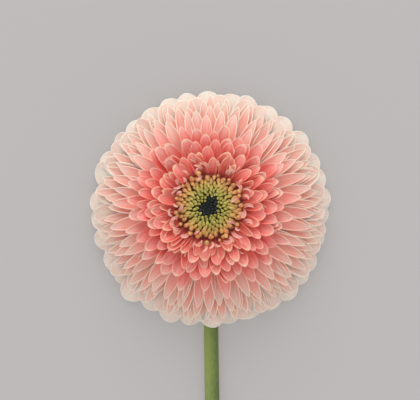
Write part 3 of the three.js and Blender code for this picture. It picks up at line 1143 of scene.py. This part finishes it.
inner_row = [bract(number, 0, 0.5, 0.12, 1.0) for number in range(BRACTS)]
inner_place = ("bract_green", "inner_bracts")
finished_whorl(inner_row, "inner_bract_row", bract_green, *inner_place, thickness=BRACT_THICKNESS)
outer_row = [bract(number, 0.5, 1.35, 0.3, 0.9) for number in range(BRACTS)]
outer_place = ("bract_green", "outer_bracts")
finished_whorl(outer_row, "outer_bract_row", bract_green, *outer_place, thickness=BRACT_THICKNESS)

# %% [markdown]
# ## Stem
# The scape is one round leafless stalk. It starts as a circle under the cup, goes round
# the neck in even turns, and runs along the table to its cut, where it is thickest. A
# bevelled curve would do, but extruded rings leave even faces for the finish and a cut
# end that can be shaped.

# %% Stem from the cup to the cut
NECK_RADIUS = 2.7
CUT_RADIUS = 3.3
BEND_RADIUS = 6.5
STEM_TOP = CUP_BASE - 0.1
SWAY = 7
BEND_STEPS = 8
RUN_STEPS = 28

bpy.ops.object.select_all(action="DESELECT")
bpy.ops.mesh.primitive_circle_add(vertices=20, radius=NECK_RADIUS, location=(0, 0, 0))
stem = start_piece("stem")
pick(stem, lambda co: True)
bpy.ops.transform.translate(value=(0, 0, STEM_TOP))
extrude((0, 0, NECK_RADIUS + BEND_RADIUS - STEM_TOP))
pivot = (0, -BEND_RADIUS, NECK_RADIUS + BEND_RADIUS)
for step in range(BEND_STEPS):
    extrude()
    turn = math.pi / 2 / BEND_STEPS
    bpy.ops.transform.rotate(value=turn, orient_axis="X", center_override=pivot)
x, y, radius = 0.0, -BEND_RADIUS, NECK_RADIUS
for step in range(1, RUN_STEPS + 1):
    share = step / RUN_STEPS
    now_x = SWAY * (1 - math.cos(math.pi * share)) / 2
    now_y = -BEND_RADIUS + (STEM_END + BEND_RADIUS) * share
    now_radius = NECK_RADIUS + (CUT_RADIUS - NECK_RADIUS) * share
    extrude((now_x - x, now_y - y, now_radius - radius))
    grow = now_radius / radius
    bpy.ops.transform.resize(value=(grow, 1, grow), center_override=(now_x, now_y, now_radius))
    x, y, radius = now_x, now_y, now_radius

# %% [markdown]
# A knife leaves a flat end with a slightly rounded edge. The last ring is repeated three
# times, smaller each time, and closed. The end under the cup is closed as well.

# %% Ends of the stem
for smaller in (0.93, 0.6, 0.5):
    extrude()
    bpy.ops.transform.resize(value=(smaller, 1, smaller), center_override=(x, y, radius))
close_end()
pick(stem, lambda co: co.z > STEM_TOP - 0.01)
close_end()
leave_edit()
outward(stem)
shape = places(stem)
print("stem", shape.min(0).round(2), shape.max(0).round(2))

# %% [markdown]
# The finish needs to know two things at each vertex: whether it is on the pith of the
# cut, and how far it is to the left or right of the stem's middle line, which places the
# painted light on its left side.

# %% Marks of the stem
middle_x = SWAY * (1 - np.cos(math.pi * np.clip(shape[:, 1] / STEM_END, 0, 1))) / 2
off_axis = np.hypot(shape[:, 0] - middle_x, shape[:, 2] - CUT_RADIUS)
pith = (shape[:, 1] < STEM_END + 0.01) * (1 - ease(off_axis, 1.5, 2.9))
mark_vertices(stem.data, {"pith": pith, "side": (shape[:, 0] - middle_x) / NECK_RADIUS})
settle(stem)
print("pith on", int((pith > 0).sum()), "vertices")

# %% [markdown]
# The stem's skin is yellowish green with painted light: its left side is painted lighter
# and yellower and its right side darker. Fine ridges run along it, and a down of tiny
# hairs softens its outline. The ridges are 0.4 mm apart and the patches some 9 mm long.
# The hairs would be thousands of strands, too fine to see, so a sheen stands for them.
# The cut shows the pale wet pith.

# %% Stem finish
RIDGES_PER_MM = 2.6
PATCHES_PER_MM = 0.11
downy = {
    "Roughness": 0.62,
    "Sheen Weight": 0.2,
    "Sheen Roughness": 0.4,
    "Subsurface Weight": 0.1,
    "Subsurface Radius": (0.6, 1.0, 0.3),
    "Subsurface Scale": 1.0 * MM,
}
skin, tree, surface = new_material("downy_stem_skin", downy)
where = add(tree, "TexCoord", out="Object")
drawn_out = add(tree, "VectorMath", {0: where, 1: (1.0, 0.2, 1.0)}, operation="MULTIPLY")
ridge_noise = {"Vector": drawn_out, "Scale": RIDGES_PER_MM / MM, "Detail": 3.0}
ridges = add(tree, "TexNoise", ridge_noise)
patch_noise = {"Vector": where, "Scale": PATCHES_PER_MM / MM, "Detail": 2.0}
patches = add(tree, "TexNoise", patch_noise)
greens = [(0.3, "#5c7134"), (0.52, "#6f8340"), (0.72, "#8b9a58")]
green = add(tree, "ValToRGB", {0: ridges}, stops=greens)
share = add(tree, "MapRange", {0: patches, 1: 0.35, 2: 0.7, 3: 0.0, 4: 0.5}, **SMOOTH)
green = add(tree, "Mix", {0: share, FIRST: green, SECOND: linear("#87963a")}, **COLOURS)

side, pith_share = (
    add(tree, "Attribute", out="Fac", attribute_name=mark) for mark in ("side", "pith")
)
# Painted light: the left side lighter and yellower, the right side darker, as if lit from the
# left.
painted_lit_side = add(tree, "MapRange", {0: side, 1: -1.0, 2: 0.9, 3: 1.0, 4: 0.0}, **SMOOTH)
painted_side_shades = {0: painted_lit_side, FIRST: linear("#d2d2c4"), SECOND: linear("#fffff4")}
shade = add(tree, "Mix", painted_side_shades, **COLOURS)
shaded = {0: 1.0, FIRST: green, SECOND: shade}
green = add(tree, "Mix", shaded, blend_type="MULTIPLY", **COLOURS)
share = add(tree, "Math", {0: painted_lit_side, 1: 0.35}, operation="MULTIPLY")
green = add(tree, "Mix", {0: share, FIRST: green, SECOND: linear("#a3b063")}, **COLOURS)
green = add(tree, "Mix", {0: pith_share, FIRST: green, SECOND: linear("#cdd09a")}, **COLOURS)
tree.links.new(green, surface.inputs["Base Color"])
bump = add(tree, "Bump", {"Strength": 0.35, "Distance": 0.3 * MM, "Height": ridges})
tree.links.new(bump, surface.inputs["Normal"])
finished(stem, skin, "stem_skin", "flower_stem")

# %% [markdown]
# ## Floor
# The flower lies on a plain pale light table. A plain sheet of paper would do, but half
# of this floor's brightness is its own, so the shadow round the flower stays faint.

# %% Floor
paper = {
    "Base Color": linear("#898684"),
    "Emission Color": linear("#bfbbb9"),
    "Emission Strength": 0.5,
    "Roughness": 0.9,
    "Specular IOR Level": 0.05,
}
bpy.ops.object.select_all(action="DESELECT")
bpy.ops.mesh.primitive_plane_add(size=6, location=(head.x, head.y, 0))
floor = start_piece("studio_floor")
floor_paper = new_material("floor_paper", paper)[0]
floor.data.materials.append(floor_paper)
print("floor", round(floor.dimensions.x, 2), "m wide")

# %% [markdown]
# ## Light
# Soft studio light: a wide light from beyond the top of the flower, and an even pale
# surround that fills the shadows. A small lamp would draw hard edges on every petal.

# %% Light
SURROUND_STRENGTH = 0.88
LIGHT_WIDTH, LIGHT_DEPTH = 2.4, 1.5
LIGHT_POWER = 30

world = bpy.data.worlds.new("studio_surround")
bpy.context.scene.world = world
world.use_nodes = True
surround = world.node_tree.nodes["Background"]
surround.inputs["Color"].default_value = linear("#f6f7fb")
surround.inputs["Strength"].default_value = SURROUND_STRENGTH

key_data = bpy.data.lights.new("wide_soft_light", "AREA")
key_data.shape = "RECTANGLE"
key_data.size = LIGHT_WIDTH
key_data.size_y = LIGHT_DEPTH
key_data.energy = LIGHT_POWER
key = bpy.data.objects.new("wide_soft_light", key_data)
from_head = Vector((-0.2, 2.1, 1.4))
key.location = Vector((head.x, head.y, 0.03)) + from_head
key.rotation_euler = from_head.to_track_quat("Z", "Y").to_euler()
bpy.context.scene.collection.objects.link(key)
bpy.context.scene.view_settings.view_transform = "Standard"
print("light stands", round(from_head.length, 2), "m from the flower")

# %% [markdown]
# Last, the blanks go, because only their copies belong to the flower.

# %% Close the scene
for blank in (pointed_blank, blunt_blank, broad_blank, bud_blank, ribbon_blank):
    bpy.data.objects.remove(blank)
low, high = cad_box
